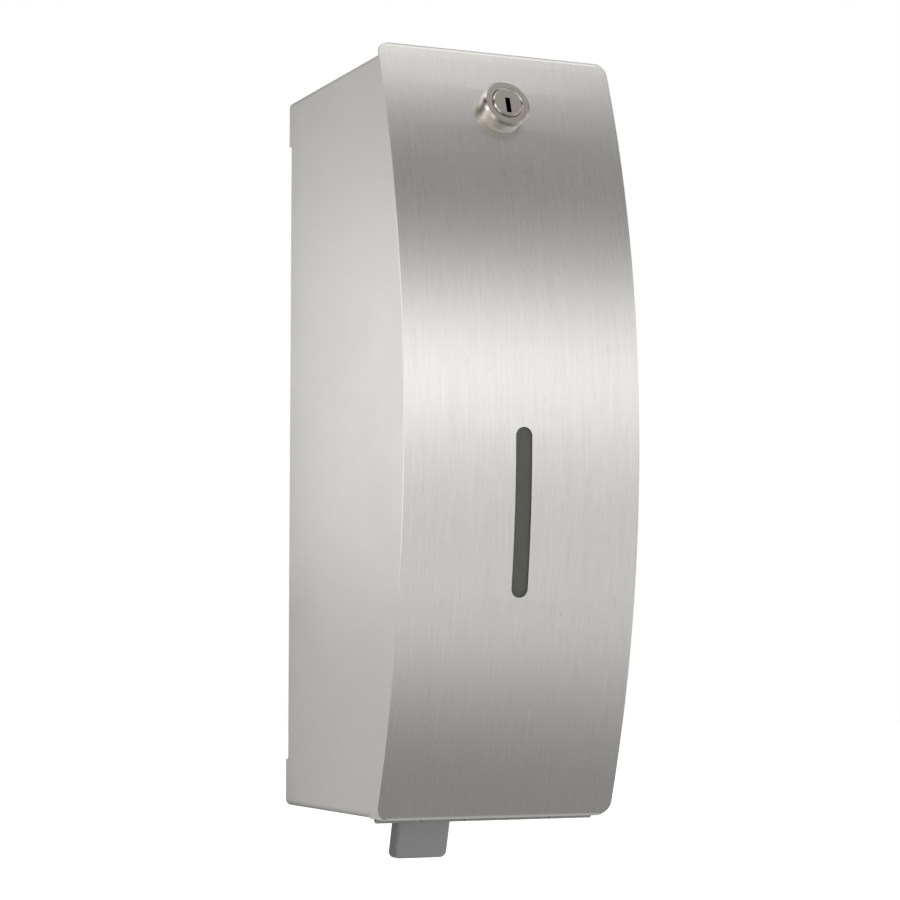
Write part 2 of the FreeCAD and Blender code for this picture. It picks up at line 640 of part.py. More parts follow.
def union_nut():
    """Clamps the pump's flange to the tank's neck."""
    top = TANK_Z[0] - 1.5
    under = FLANGE_TOP_Z - FLANGE_T
    profile = [
        (NECK_R, top),
        (15.2, top),
        (16.4, top - 1.2),
        (16.4, under - 1.5),
        (15.6, under - 2.3),
        (9.6, under - 2.3),
        (9.6, under),
        (13.0, under),
        (13.0, NECK_END_Z),
        (NECK_R, NECK_END_Z),
    ]
    nut = turned(profile, on_port(0), Z_AXIS)
    ribs = 16
    for index in range(ribs):
        angle = 360.0 * index / ribs
        rib = rod(0.9, V(16.4, 0, under - 1.2), V(16.4, 0, top - 1.6))
        rib.Placement = FreeCAD.Placement(on_port(0), FreeCAD.Rotation(Z_AXIS, angle))
        nut = nut.fuse(rib)
    return nut


def pump_body():
    """A moulded cylinder with a flanged inlet above it and an outlet stem below."""
    under = FLANGE_TOP_Z - FLANGE_T
    body = rod(13.0, on_port(under), on_port(FLANGE_TOP_Z))
    body = body.fuse(rod(9.5, on_port(PUMP_Z), on_port(under)))
    front = BORE_FRONT_Y - 2.5
    body = body.fuse(rod(CYLINDER_R, V(0, front, PUMP_Z), V(0, CYLINDER_REAR_Y, PUMP_Z)))
    body = body.fuse(rod(7.0, on_port(OUTLET_FOOT_Z), on_port(PUMP_Z)))
    bore = rod(BORE_R, V(0, BORE_FRONT_Y, PUMP_Z), V(0, CYLINDER_REAR_Y + 1, PUMP_Z))
    passage = rod(PORT_R, on_port(OUTLET_FOOT_Z - 1), on_port(FLANGE_TOP_Z + 1))
    return body.cut(bore).cut(passage).removeSplitter()


def inlet_cage():
    low = BORE_TOP_Z - 1.4
    return tube(PORT_R, SEAT_R, on_port(low + 1.0), on_port(INLET_CAGE_TOP))


def inlet_seat():
    return tube(PORT_R, SEAT_R, on_port(INLET_SEAT_Z), on_port(INLET_SEAT_Z + 2))


def outlet_seat():
    return tube(PORT_R, SEAT_R, on_port(OUTLET_SEAT_Z), on_port(OUTLET_SEAT_Z + 2))


def inlet_ball():
    return Part.makeSphere(BALL_R, on_port(INLET_BALL_Z))


def outlet_ball():
    return Part.makeSphere(BALL_R, on_port(OUTLET_BALL_Z))


def coil(centre_r, wire_r, turns, length, start, axis):
    """A compression spring from a start point along an axis, its round wire cut into flat facets."""
    sides = 10
    steps = 14 * turns
    climb = (length - 2 * wire_r) / steps
    rings = []
    for step in range(steps + 1):
        turn = 2 * math.pi * step / 14
        ring = []
        for side in range(sides):
            angle = 2 * math.pi * side / sides
            reach = centre_r + wire_r * math.cos(angle)
            height = wire_r + climb * step + wire_r * math.sin(angle)
            ring.append(V(reach * math.cos(turn), reach * math.sin(turn), height))
        rings.append(ring)
    faces = [Part.Face(Part.makePolygon(ring + ring[:1])) for ring in (rings[0], rings[-1])]
    for near, far in zip(rings, rings[1:]):
        for side in range(sides):
            after = (side + 1) % sides
            for corners in ((near[side], near[after], far[after]), (near[side], far[after], far[side])):
                faces.append(Part.Face(Part.makePolygon(list(corners) + [corners[0]])))
    shell = Part.makeShell(faces)
    shell.sewShape()
    spring = Part.makeSolid(shell)
    if spring.Volume < 0:
        spring.reverse()
    spring.Placement = FreeCAD.Placement(start, FreeCAD.Rotation(Z_AXIS, axis))
    return spring


def outlet_spring():
    top = OUTLET_BALL_Z - BALL_R
    return coil(2.1, 0.25, 3, top - OUTLET_FOOT_Z - 0.1, on_port(OUTLET_FOOT_Z + 0.05), Z_AXIS)


def nozzle():
    """Screws on the outlet stem and narrows to the drip tip."""
    tip = NOZZLE_TIP_Z
    foot = OUTLET_FOOT_Z
    profile = [
        (7.0, foot),
        (7.0, foot + 5),
        (9.0, foot + 5),
        (9.0, foot + 0.5),
        (8.2, foot - 0.5),
        (6.0, foot - 3),
        (4.4, tip + 0.6),
        (3.9, tip),
        (2.0, tip),
        (1.8, foot),
    ]
    return turned(profile, on_port(0), Z_AXIS)


def pump_cap():
    """Closes the cylinder's rear end and guides the piston's rod."""
    rear = CYLINDER_REAR_Y + 2.0
    front = CYLINDER_REAR_Y - 4.5
    cap = rod(CYLINDER_R + 2, V(0, front, PUMP_Z), V(0, rear, PUMP_Z))
    cap = cap.makeChamfer(0.8, [edge for edge in cap.Edges if edge.Closed])
    cap = cap.cut(rod(CYLINDER_R, V(0, front - 1, PUMP_Z), V(0, CYLINDER_REAR_Y, PUMP_Z)))
    return cap.cut(rod(ROD_R + RUNNING, V(0, front, PUMP_Z), V(0, rear + 1, PUMP_Z)))


PISTON_FRONT_Y = -60.0
PISTON_REAR_Y = CYLINDER_REAR_Y - 0.4
GROOVE_Y = -56.8
SEAL_WIRE_R = 0.9


def piston():
    """The piston and its rod in one turned piece, with a groove for the ring seal."""
    start = V(0, PISTON_FRONT_Y, PUMP_Z)
    head = rod(BORE_R - RUNNING, start, V(0, PISTON_REAR_Y, PUMP_Z))
    groove = (GROOVE_Y - SEAL_WIRE_R, GROOVE_Y + SEAL_WIRE_R)
    ring = tube(BORE_R + 1, BORE_R - 2 * SEAL_WIRE_R - 0.1, V(0, groove[0], PUMP_Z), V(0, groove[1], PUMP_Z))
    shaft = rod(ROD_R, start, V(0, BUTTON_Y[0] + 1.5, PUMP_Z))
    return head.cut(ring).fuse(shaft).removeSplitter()


def piston_seal():
    centre_r = BORE_R - RUNNING / 2 - SEAL_WIRE_R
    return Part.makeTorus(centre_r, SEAL_WIRE_R, V(0, GROOVE_Y, PUMP_Z), Y_AXIS)


def push_button():
    """Sits on the end of the rod, and the lever's nose bears on it."""
    button = rod(BUTTON_R, V(0, BUTTON_Y[0], PUMP_Z), V(0, BUTTON_Y[1], PUMP_Z))
    button = button.makeChamfer(0.6, [edge for edge in button.Edges if edge.Closed])
    return button.cut(rod(ROD_R, V(0, BUTTON_Y[0] - 1, PUMP_Z), V(0, BUTTON_Y[0] + 1.5, PUMP_Z)))


def pump_spring():
    start_y = CYLINDER_REAR_Y + 2.0
    return coil(4.6, 0.45, 5, BUTTON_Y[0] - start_y - 0.1, V(0, start_y + 0.05, PUMP_Z), Y_AXIS)


# ---- bracket and lever --------------------------------------------------------------------------

def bracket_screw_points():
    return [V(x, -2 * PLATE, z) for x in (-11, 11) for z in (-128, -152)]


def pump_bracket():
    """A channel on the back plate that holds the pump's cylinder and the lever's pin."""
    outer = EAR_X + PLATE
    height = (-161, -120)
    foot = box((-outer, outer), (-2 * PLATE, -PLATE), height)
    front = -58.8
    bracket = foot
    for side in (-1, 1):
        low = min(side * EAR_X, side * outer)
        outline = [(-PLATE, height[0]), (-50, height[0]), (front - PLATE, -157), (front - PLATE, -129),
                   (-20, -129), (-8, height[1]), (-PLATE, height[1])]
        ear = side_prism(outline, PLATE / 2)
        ear.translate(V(low + PLATE / 2, 0, 0))
        bracket = bracket.fuse(ear)
    plate = box((-outer, outer), (front - PLATE, front), (-157, -129))
    bracket = bracket.fuse(plate)
    bracket = bracket.cut(rod(CYLINDER_R, V(0, front - 5, PUMP_Z), V(0, front + 5, PUMP_Z)))
    pivot = V(0, LEVER_AXIS_Y, LEVER_AXIS_Z)
    bracket = bracket.cut(rod(LEVER_PIN_R, pivot - X_AXIS * 30, pivot + X_AXIS * 30))
    for point in bracket_screw_points():
        bracket = bracket.cut(rod(2.0, point - Y_AXIS, point + Y_AXIS * 3))
    return bracket.removeSplitter()


def bracket_screws():
    screws = []
    for point in bracket_screw_points():
        profile = [(0, -2.7), (2, -2.7), (2, 0), (3.6, 0), (3.6, 1.2), (2.6, 2.2), (0, 2.2)]
        screw = turned(profile, point, Y_AXIS * -1)
        screws.append(screw.cut(box((point.x - 0.5, point.x + 0.5), (point.y - 3, point.y - 1.2),
                                    (point.z - 4, point.z + 4))))
    return Part.makeCompound(screws)


def lever_pin():
    return rod(LEVER_PIN_R, V(-22, LEVER_AXIS_Y, LEVER_AXIS_Z), V(22, LEVER_AXIS_Y, LEVER_AXIS_Z))


def pin_clips():
    """A retaining ring on each end of the lever's pin, outside the ears."""
    rings = []
    for side in (-1, 1):
        near = side * (EAR_X + PLATE)
        far = near + side * 0.8
        ring = tube(4.2, LEVER_PIN_R, V(near, LEVER_AXIS_Y, LEVER_AXIS_Z), V(far, LEVER_AXIS_Y, LEVER_AXIS_Z))
        gap = box((min(near, far) - 1, max(near, far) + 1), (LEVER_AXIS_Y - 1.2, LEVER_AXIS_Y + 1.2),
                  (LEVER_AXIS_Z - 6, LEVER_AXIS_Z))
        rings.append(ring.cut(gap))
    return Part.makeCompound(rings)


def paddle_front_y(z):
    """The paddle's front face, which leans back towards the wall going down."""
    return LEVER_FRONT_Y + (-CASE_HALF_H - z) * math.tan(math.radians(LEVER_LEAN))


def leaning_block(inset, z, half_w):
    """A block that leans with the paddle, between two distances behind its front face."""
    low, high = z
    near = inset[0] / math.cos(math.radians(LEVER_LEAN))
    far = inset[1] / math.cos(math.radians(LEVER_LEAN))
    outline = [(paddle_front_y(high) + near, high), (paddle_front_y(low) + near, low),
               (paddle_front_y(low) + far, low), (paddle_front_y(high) + far, high)]
    return side_prism(outline, half_w)


def paddle():
    """The moulded channel that is pushed: a front wall, two sides and a closed lower end."""
    outer = leaning_block((0, LEVER_DEPTH), (LEVER_BOTTOM_Z, PADDLE_TOP_Z), LEVER_W / 2)
    bend_y = paddle_front_y(PADDLE_BEND_Z)
    upright = box((-LEVER_W, LEVER_W), (bend_y - LEVER_W, bend_y), (PADDLE_BEND_Z, PADDLE_TOP_Z + 1))
    outer = outer.cut(upright).removeSplitter()
    lower = [edge for edge in outer.Edges
             if edge.CenterOfMass.z < LEVER_BOTTOM_Z + 0.5
             and abs(edge.tangentAt(edge.FirstParameter).y) > 0.9]
    outer = outer.makeFillet(PADDLE_CORNER_R, lower)
    front = [edge for edge in outer.Edges
             if edge.CenterOfMass.z < PADDLE_TOP_Z - 1
             and edge.CenterOfMass.y < paddle_front_y(min(edge.CenterOfMass.z, PADDLE_BEND_Z)) + 1
             and abs(edge.CenterOfMass.z - PADDLE_BEND_Z) > 0.01]
    outer = outer.makeFillet(PADDLE_EDGE_R, front)
    hollow_z = (LEVER_BOTTOM_Z + LEVER_WALL, PADDLE_WEB_Z)
    hollow = leaning_block((LEVER_WALL, LEVER_DEPTH + 1), hollow_z, LEVER_W / 2 - LEVER_WALL)
    corners = [edge for edge in hollow.Edges
               if abs(edge.tangentAt(edge.FirstParameter).y) > 0.9
               and edge.Length < LEVER_DEPTH + 2]
    return outer.cut(hollow.makeFillet(PADDLE_INNER_R, corners))


def push_lever():
    """The paddle under the case, its hub on the pin, and the arm that pushes the piston."""
    pivot = V(0, LEVER_AXIS_Y, LEVER_AXIS_Z)
    hub_w = EAR_X - 0.4
    hub = rod(LEVER_HUB_R, pivot - X_AXIS * hub_w, pivot + X_AXIS * hub_w)
    rear_y = paddle_front_y(PADDLE_WEB_Z) + LEVER_DEPTH
    front_y = paddle_front_y(PADDLE_BEND_Z)
    shoulder = side_prism([(front_y, PADDLE_TOP_Z - 2), (front_y, PADDLE_TOP_Z),
                           (LEVER_AXIS_Y - 3, LEVER_AXIS_Z + 4), (LEVER_AXIS_Y + 3, LEVER_AXIS_Z - 4),
                           (rear_y, PADDLE_WEB_Z)], LEVER_W / 2 - 0.3)
    nose_y = BUTTON_Y[1] + 0.1 + LEVER_NOSE_R
    nose = V(0, nose_y, PUMP_Z)
    arm = side_prism([(LEVER_AXIS_Y - 3, LEVER_AXIS_Z), (nose_y - 2.4, PUMP_Z), (nose_y + 2.8, PUMP_Z),
                      (LEVER_AXIS_Y + 4, LEVER_AXIS_Z)], LEVER_ARM_HALF_W)
    arm = arm.fuse(rod(LEVER_NOSE_R, nose - X_AXIS * LEVER_ARM_HALF_W, nose + X_AXIS * LEVER_ARM_HALF_W))
    lever = paddle().fuse(shoulder).fuse(hub).fuse(arm)
    lever = lever.cut(rod(LEVER_PIN_R + RUNNING, pivot - X_AXIS * LEVER_W, pivot + X_AXIS * LEVER_W))
    return lever.removeSplitter()


PARTS = {
    "case_shell": case_shell,
    "back_plate": back_plate,
    "hinge_leaf": hinge_leaf,
    "hinge_pin": hinge_pin,
    "lock_keeper": lock_keeper,
    "door_skin": door_skin,
    "door_frame": door_frame,
    "door_rail_left": door_rail_left,
    "door_rail_right": door_rail_right,
    "window_lens": window_lens,
    "window_retainer": window_retainer,
    "lock_housing": lock_housing,
    "lock_washer": lock_washer,
    "lock_nut": lock_nut,
    "lock_plug": lock_plug,
    "lock_cam": lock_cam,
    "cam_screw": cam_screw,
    "tank_body": tank_body,
    "tank_hook": tank_hook,
    "tank_lid": tank_lid,
    "lid_seal": lid_seal,
    "lid_pin": lid_pin,
    "neck_seal": neck_seal,
    "union_nut": union_nut,
    "pump_body": pump_body,
    "inlet_cage": inlet_cage,
    "inlet_seat": inlet_seat,
    "inlet_ball": inlet_ball,
    "outlet_seat": outlet_seat,
    "outlet_ball": outlet_ball,
    "outlet_spring": outlet_spring,
    "nozzle": nozzle,
    "pump_cap": pump_cap,
    "piston": piston,
    "piston_seal": piston_seal,
    "push_button": push_button,
    "pump_spring": pump_spring,
    "pump_bracket": pump_bracket,
    "bracket_screws": bracket_screws,
    "lever_pin": lever_pin,
    "pin_clips": pin_clips,
    "push_lever": push_lever,
}


def main():
    os.makedirs("parts", exist_ok=True)
    for name, make in PARTS.items():
        shape = make()
        solids = shape.Solids
        bounds = shape.BoundBox
        print("%-16s %2d solid(s) %10.1f mm3 valid=%s  x %.1f..%.1f  y %.1f..%.1f  z %.1f..%.1f" % (
            name, len(solids), shape.Volume, shape.isValid(), bounds.XMin, bounds.XMax,
            bounds.YMin, bounds.YMax, bounds.ZMin, bounds.ZMax))
        shape.exportStep("parts/" + name + ".step")


main()
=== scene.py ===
import json
import math

import bpy
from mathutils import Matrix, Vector


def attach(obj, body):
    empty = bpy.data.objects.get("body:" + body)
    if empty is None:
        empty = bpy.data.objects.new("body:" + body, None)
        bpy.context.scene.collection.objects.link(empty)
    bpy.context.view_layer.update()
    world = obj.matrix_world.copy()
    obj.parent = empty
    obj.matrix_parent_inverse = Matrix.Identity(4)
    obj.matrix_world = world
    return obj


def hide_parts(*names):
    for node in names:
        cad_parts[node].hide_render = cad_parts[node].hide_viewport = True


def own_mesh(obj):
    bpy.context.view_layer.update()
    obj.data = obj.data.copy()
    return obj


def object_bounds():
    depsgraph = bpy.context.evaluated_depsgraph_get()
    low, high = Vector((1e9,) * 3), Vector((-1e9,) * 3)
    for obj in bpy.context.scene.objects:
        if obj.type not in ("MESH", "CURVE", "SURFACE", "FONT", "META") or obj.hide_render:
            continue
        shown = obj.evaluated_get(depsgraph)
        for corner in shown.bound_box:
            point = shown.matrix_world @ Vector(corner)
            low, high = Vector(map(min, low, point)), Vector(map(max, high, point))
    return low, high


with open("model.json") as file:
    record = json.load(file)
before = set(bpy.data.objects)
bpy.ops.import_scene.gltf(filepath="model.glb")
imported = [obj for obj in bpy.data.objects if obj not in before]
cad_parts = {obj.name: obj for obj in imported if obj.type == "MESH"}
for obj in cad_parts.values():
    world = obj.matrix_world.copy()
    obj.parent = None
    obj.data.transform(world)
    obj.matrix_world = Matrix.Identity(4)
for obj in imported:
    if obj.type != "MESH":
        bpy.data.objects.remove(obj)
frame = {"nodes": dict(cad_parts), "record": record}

# A stainless soap dispenser for a wall. Metres, in the CAD model's frame: origin at the middle of
# the wall face, wall on +Y, door facing -Y, +Z up.

CAD_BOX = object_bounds()
MM = 0.001

LENS_MM = 101.016
CAMERA_PLACE = Vector((-0.45686, -1.11048, -0.09341))
CAMERA_YAW = math.radians(23.754)  # the camera stands to the left and looks to the right
CAMERA_PITCH = math.radians(4.527)  # and a little upwards
CAMERA_ROLL = math.radians(-0.044)
CAMERA_SHIFT = (-0.00094, 0.00034)


# ---- nodes ----------------------------------------------------------------------------------------

def srgb(hex_colour):
    """A six-digit sRGB hex value as linear RGBA."""
    linear = []
    for start in (0, 2, 4):
        value = int(hex_colour[start:start + 2], 16) / 255
        linear.append(value / 12.92 if value <= 0.04045 else ((value + 0.055) / 1.055) ** 2.4)
    return (*linear, 1.0)


def add(tree, kind, inputs=None, **settings):
    """Add a node, set its properties, and fill its inputs with values or with other nodes' outputs."""
    node = tree.nodes.new("ShaderNode" + kind)
    for name, value in settings.items():
        setattr(node, name, value)
    for name, value in (inputs or {}).items():
        socket = node.inputs[name]
        if isinstance(value, bpy.types.NodeSocket):
            tree.links.new(value, socket)
        else:
            socket.default_value = value
    return node


def material(name):
    """An empty material with an output node, and its node tree."""
    made = bpy.data.materials.new(name)
    made.use_nodes = True
    tree = made.node_tree
    tree.nodes.clear()
    return made, tree


def finish_material(tree, shader):
    output = add(tree, "OutputMaterial")
    tree.links.new(shader.outputs[0], output.inputs["Surface"])


def grain(tree, cell_mm, detail=2.0, roughness=0.5):
    """Noise whose cell measures the given millimetres along X, Y and Z."""
    place = add(tree, "TexCoord").outputs["Object"]
    scale = tuple(1 / (size * MM) for size in cell_mm)
    mapped = add(tree, "Mapping", {"Vector": place, "Scale": scale})
    noise = add(tree, "TexNoise", {"Vector": mapped.outputs[0], "Scale": 1.0, "Detail": detail,
                                   "Roughness": roughness})
    return noise.outputs["Fac"]


def between(tree, factor, low, high, start=0.3, end=0.7):
    """A value that goes from low to high as the factor goes from start to end."""
    return add(tree, "MapRange", {"Value": factor, "From Min": start, "From Max": end,
                                  "To Min": low, "To Max": high}).outputs[0]


def tinted(tree, factor, low_hex, high_hex, start=0.3, end=0.7):
    """A colour between two sRGB values."""
    share = between(tree, factor, 0.0, 1.0, start, end)
    mix = add(tree, "Mix", data_type="RGBA")
    tree.links.new(share, mix.inputs[0])
    mix.inputs[6].default_value = srgb(low_hex)
    mix.inputs[7].default_value = srgb(high_hex)
    return mix.outputs[2]


def bumped(tree, height, depth_mm, strength=1.0, below=None):
    inputs = {"Height": height, "Distance": depth_mm * MM, "Strength": strength}
    if below is not None:
        inputs["Normal"] = below
    return add(tree, "Bump", inputs).outputs[0]


# ---- materials --------------------------------------------------------------------------------------

def brushed_stainless():
    """Stainless sheet with an upright satin brush: soft belts of light cross it, broken by fine
    upright lines and here and there a short deeper scratch. The real lines are a tenth of a
    millimetre wide and are drawn several times as wide, so that they show."""
    made, tree = material("brushed stainless steel")
    fine = grain(tree, (0.5, 60.0, 12.0), 1.0, 0.5)
    broad = grain(tree, (1.5, 60.0, 45.0), 1.0, 0.5)
    both = add(tree, "Mix", {"Factor": 0.35, "A": fine, "B": broad}, data_type="FLOAT").outputs[0]
    nicks = grain(tree, (0.8, 60.0, 5.0), 0.0, 0.5)
    nick = between(tree, nicks, 0.0, 1.0, 0.74, 0.90)
    plain = tinted(tree, both, "DAD8D5", "E2E1DE")
    marked = add(tree, "Mix", data_type="RGBA")
    tree.links.new(nick, marked.inputs[0])
    tree.links.new(plain, marked.inputs[6])
    marked.inputs[7].default_value = srgb("D4D2CF")
    shader = add(tree, "BsdfPrincipled", {
        "Base Color": marked.outputs[2],
        "Metallic": 1.0,
        "Roughness": between(tree, both, 0.273, 0.277),
        "Normal": bumped(tree, both, 0.0008, 0.5),
    })
    finish_material(tree, shader)
    return made


def blasted_stainless():
    """Stainless sheet with a glass-bead finish: even, matte, with a fine grain that has no
    direction."""
    made, tree = material("bead-blasted stainless steel")
    fine = grain(tree, (0.55, 0.55, 0.55), 3.0, 0.7)
    cloud = grain(tree, (35.0, 35.0, 35.0), 2.0, 0.5)
    shader = add(tree, "BsdfPrincipled", {
        "Base Color": tinted(tree, fine, "DAD8D5", "E3E1DE"),
        "Metallic": 1.0,
        "Roughness": between(tree, cloud, 0.44, 0.52),
        "Normal": bumped(tree, fine, 0.02, 0.5),
    })
    finish_material(tree, shader)
    return made


def galvanised_steel():
    """Hot-dip galvanised sheet: dull grey zinc with pale angular spangle about 6 mm across."""
    made, tree = material("galvanised steel")
    place = add(tree, "TexCoord").outputs["Object"]
    spangle = add(tree, "TexVoronoi", {"Vector": place, "Scale": 1 / (6 * MM)}, feature="F1")
    shade = add(tree, "SeparateColor", {"Color": spangle.outputs["Color"]}).outputs[0]
    fine = grain(tree, (0.5, 0.5, 0.5), 2.0, 0.6)
    shader = add(tree, "BsdfPrincipled", {
        "Base Color": tinted(tree, shade, "A2A29F", "B7B7B3", 0.0, 1.0),
        "Metallic": 1.0,
        "Roughness": between(tree, shade, 0.36, 0.56, 0.0, 1.0),
        "Normal": bumped(tree, fine, 0.01, 0.4),
    })
    finish_material(tree, shader)
    return made


def smoked_acrylic():
    """Cast acrylic with a smoke tint: smooth and glossy, nearly opaque in front of the dark
    inside, with a faint haze from the mould."""
    made, tree = material("smoked acrylic")
    haze = grain(tree, (6.0, 6.0, 6.0), 2.0, 0.5)
    shader = add(tree, "BsdfPrincipled", {
        "Base Color": tinted(tree, haze, "4B4C44", "50514A"),
        "Roughness": between(tree, haze, 0.30, 0.36),
        "IOR": 1.49,
        "Specular IOR Level": 0.35,
    })
    finish_material(tree, shader)
    return made


def chrome_plate():
    """Polished chrome on a zinc casting: a near mirror with faint turning marks."""
    made, tree = material("chrome-plated zinc")
    marks = grain(tree, (0.4, 0.4, 0.4), 2.0, 0.5)
    shader = add(tree, "BsdfPrincipled", {
        "Base Color": tinted(tree, marks, "CDC9C1", "D4D0C8"),
        "Metallic": 1.0,
        "Roughness": between(tree, marks, 0.03, 0.06),
    })
    finish_material(tree, shader)
    return made


def zinc_plate():
    """Bright zinc plating on small hardware: silvery with a slight yellow-blue cloudiness."""
    made, tree = material("zinc-plated steel")
    cloud = grain(tree, (4.0, 4.0, 4.0), 2.0, 0.5)
    shader = add(tree, "BsdfPrincipled", {
        "Base Color": tinted(tree, cloud, "BDBBAE", "C3C7CA"),
        "Metallic": 1.0,
        "Roughness": between(tree, cloud, 0.24, 0.36),
    })
    finish_material(tree, shader)
    return made


def drawn_steel():
    """Drawn and ground stainless wire and pins: bright, with lines along the draw."""
    made, tree = material("drawn stainless wire")
    lines = grain(tree, (0.3, 0.3, 0.3), 2.0, 0.6)
    shader = add(tree, "BsdfPrincipled", {
        "Base Color": tinted(tree, lines, "B9B9B8", "C9C9C8"),
        "Metallic": 1.0,
        "Roughness": between(tree, lines, 0.16, 0.28),
    })
    finish_material(tree, shader)
    return made


def natural_polyethylene():
    """Blow-moulded natural polyethylene: milky, waxy and translucent, with a soft uneven wall."""
    made, tree = material("natural polyethylene")
    wall = grain(tree, (12.0, 12.0, 12.0), 2.0, 0.5)
    shader = add(tree, "BsdfPrincipled", {
        "Base Color": tinted(tree, wall, "DDDFDA", "E4E6E1"),
        "Roughness": between(tree, wall, 0.38, 0.48),
        "IOR": 1.52,
        "Subsurface Weight": 0.3,
        "Subsurface Radius": (0.004, 0.004, 0.004),
        "Transmission Weight": 0.15,
        "Normal": bumped(tree, wall, 0.03, 0.3),
    })
    finish_material(tree, shader)
    return made


def moulded(name, low_hex, high_hex, roughness, ior, texture_mm, depth_mm):
    """A moulded plastic with the fine spark texture of its tool."""
    made, tree = material(name)
    texture = grain(tree, (texture_mm,) * 3, 2.0, 0.6)
    shader = add(tree, "BsdfPrincipled", {
        "Base Color": tinted(tree, texture, low_hex, high_hex),
        "Roughness": between(tree, texture, roughness - 0.05, roughness + 0.05),
        "IOR": ior,
        "Normal": bumped(tree, texture, depth_mm, 0.5),
    })
    finish_material(tree, shader)
    return made


SLOT_MATERIALS = {
    "case_stainless": blasted_stainless(),
    "galvanised_steel": galvanised_steel(),
    "door_stainless": brushed_stainless(),
    "smoked_acrylic": smoked_acrylic(),
    "lock_chrome": chrome_plate(),
    "zinc_plate": zinc_plate(),
    "bright_steel": drawn_steel(),
    "tank_polyethylene": natural_polyethylene(),
    "lid_plastic": moulded("white polypropylene", "D9DAD7", "E0E1DE", 0.42, 1.49, 0.8, 0.01),
    "seal_rubber": moulded("nitrile rubber", "161616", "1E1E1D", 0.70, 1.52, 0.5, 0.01),
    "pump_acetal": moulded("white acetal", "E2E1DB", "E9E8E3", 0.35, 1.48, 1.2, 0.01),
    "nut_plastic": moulded("black nylon", "26282A", "303234", 0.48, 1.53, 0.6, 0.01),
    # moulded ABS with a fine matte tool texture, about half a millimetre, and a soft sheen
    "lever_plastic": moulded("grey textured ABS", "808081", "8A8A8B", 0.55, 1.54, 0.5, 0.02),
}


def new_piece(name, points, faces, paint, smooth=True):
    """A mesh piece from points in millimetres."""
    mesh = bpy.data.meshes.new(name)
    mesh.from_pydata([Vector(point) * MM for point in points], [], faces)
    mesh.materials.append(paint)
    mesh.polygons.foreach_set("use_smooth", [smooth] * len(mesh.polygons))
    piece = bpy.data.objects.new(name, mesh)
    bpy.context.scene.collection.objects.link(piece)
    return piece


def coil(name, centre_r, wire_r, turns, length, start, axes):
    """A compression spring with round wire: the last half turn at each end lies flat."""
    across, over, along = (Vector(axis) for axis in axes)
    start = Vector(start)
    sides = 14
    per_turn = 36
    steps = per_turn * turns
    rest = per_turn // 2
    points = []
    for step in range(steps + 1):
        share = min(max((step - rest) / (steps - 2 * rest), 0.0), 1.0)
        share = share * share * (3 - 2 * share) * 0.25 + share * 0.75
        height = wire_r + (length - 2 * wire_r) * share
        turn = math.tau * step / per_turn
        out = across * math.cos(turn) + over * math.sin(turn)
        for side in range(sides):
            angle = math.tau * side / sides
            points.append(start + out * (centre_r + wire_r * math.cos(angle))
                          + along * (height + wire_r * math.sin(angle)))
    faces = [tuple(reversed(range(sides))), tuple(range(steps * sides, (steps + 1) * sides))]
    for step in range(steps):
        for side in range(sides):
            after = (side + 1) % sides
            low = step * sides
            faces.append((low + side, low + after, low + sides + after, low + sides + side))
    return new_piece(name, points, faces, SLOT_MATERIALS["bright_steel"])


def springs():
    """The two springs, drawn with round wire, each hung on the case in place of its CAD node."""
    pump = coil("spring_of_pump", 4.6, 0.45, 5, 14.9, (0, -50.95, -138), ((1, 0, 0), (0, 0, -1), (0, 1, 0)))
    outlet = coil("spring_of_outlet", 2.1, 0.25, 3, 7.0, (0, -70, -159.95), ((1, 0, 0), (0, 1, 0), (0, 0, 1)))
    for piece, node, joint, axis, anchor, keep in (
            (pump, "pump_spring", "piston_slide", (0, 1, 0), (0, -0.051, -0.138), 0.70),
            (outlet, "outlet_spring", "outlet_ball_drop", (0, 0, 1), (0, -0.070, -0.160), 0.786)):
        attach(piece, "case")
        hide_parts(node)
        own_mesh(piece)


def dress_frame():
    """Give every CAD node the material of its slot in the record."""
    for part in frame["record"]["subparts"]:
        node = frame["nodes"][part["node"]]
        node.data.materials.clear()
        node.data.materials.append(SLOT_MATERIALS[part["material_slot"]])


# ---- studio ---------------------------------------------------------------------------------------

def soft_box(name, place, aim, width, height, watts):
    light = bpy.data.lights.new(name, "AREA")
    light.shape = "RECTANGLE"
    light.size = width
    light.size_y = height
    light.energy = watts
    holder = bpy.data.objects.new(name, light)
    bpy.context.scene.collection.objects.link(holder)
    holder.visible_camera = False
    holder.location = place
    holder.rotation_euler = (Vector(aim) - Vector(place)).to_track_quat("-Z", "Y").to_euler()
    return holder


# how bright the room in front of the object is, by degrees above the horizon
FRONT_ROOM = [(-90, 0.50), (-64, 0.52), (-56, 0.27), (-42, 0.30), (-34, 0.20), (-26, 0.44), (-17, 0.92),
              (-5, 0.75), (3, 0.92), (11, 1.80), (17, 1.30), (24, 0.49), (33, 0.11), (39, 0.16), (45, 0.52),
              (52, 1.45), (60, 1.35), (74, 0.90), (90, 0.75)]
EVEN_ROOM = 0.45  # towards the right the belts fade into this
REAR_ROOM = 0.60
BRIGHTEST = 1.8
FLOOR_DROP = 0.35  # below the lowest point of the object
FLOOR_REACH = 12.0


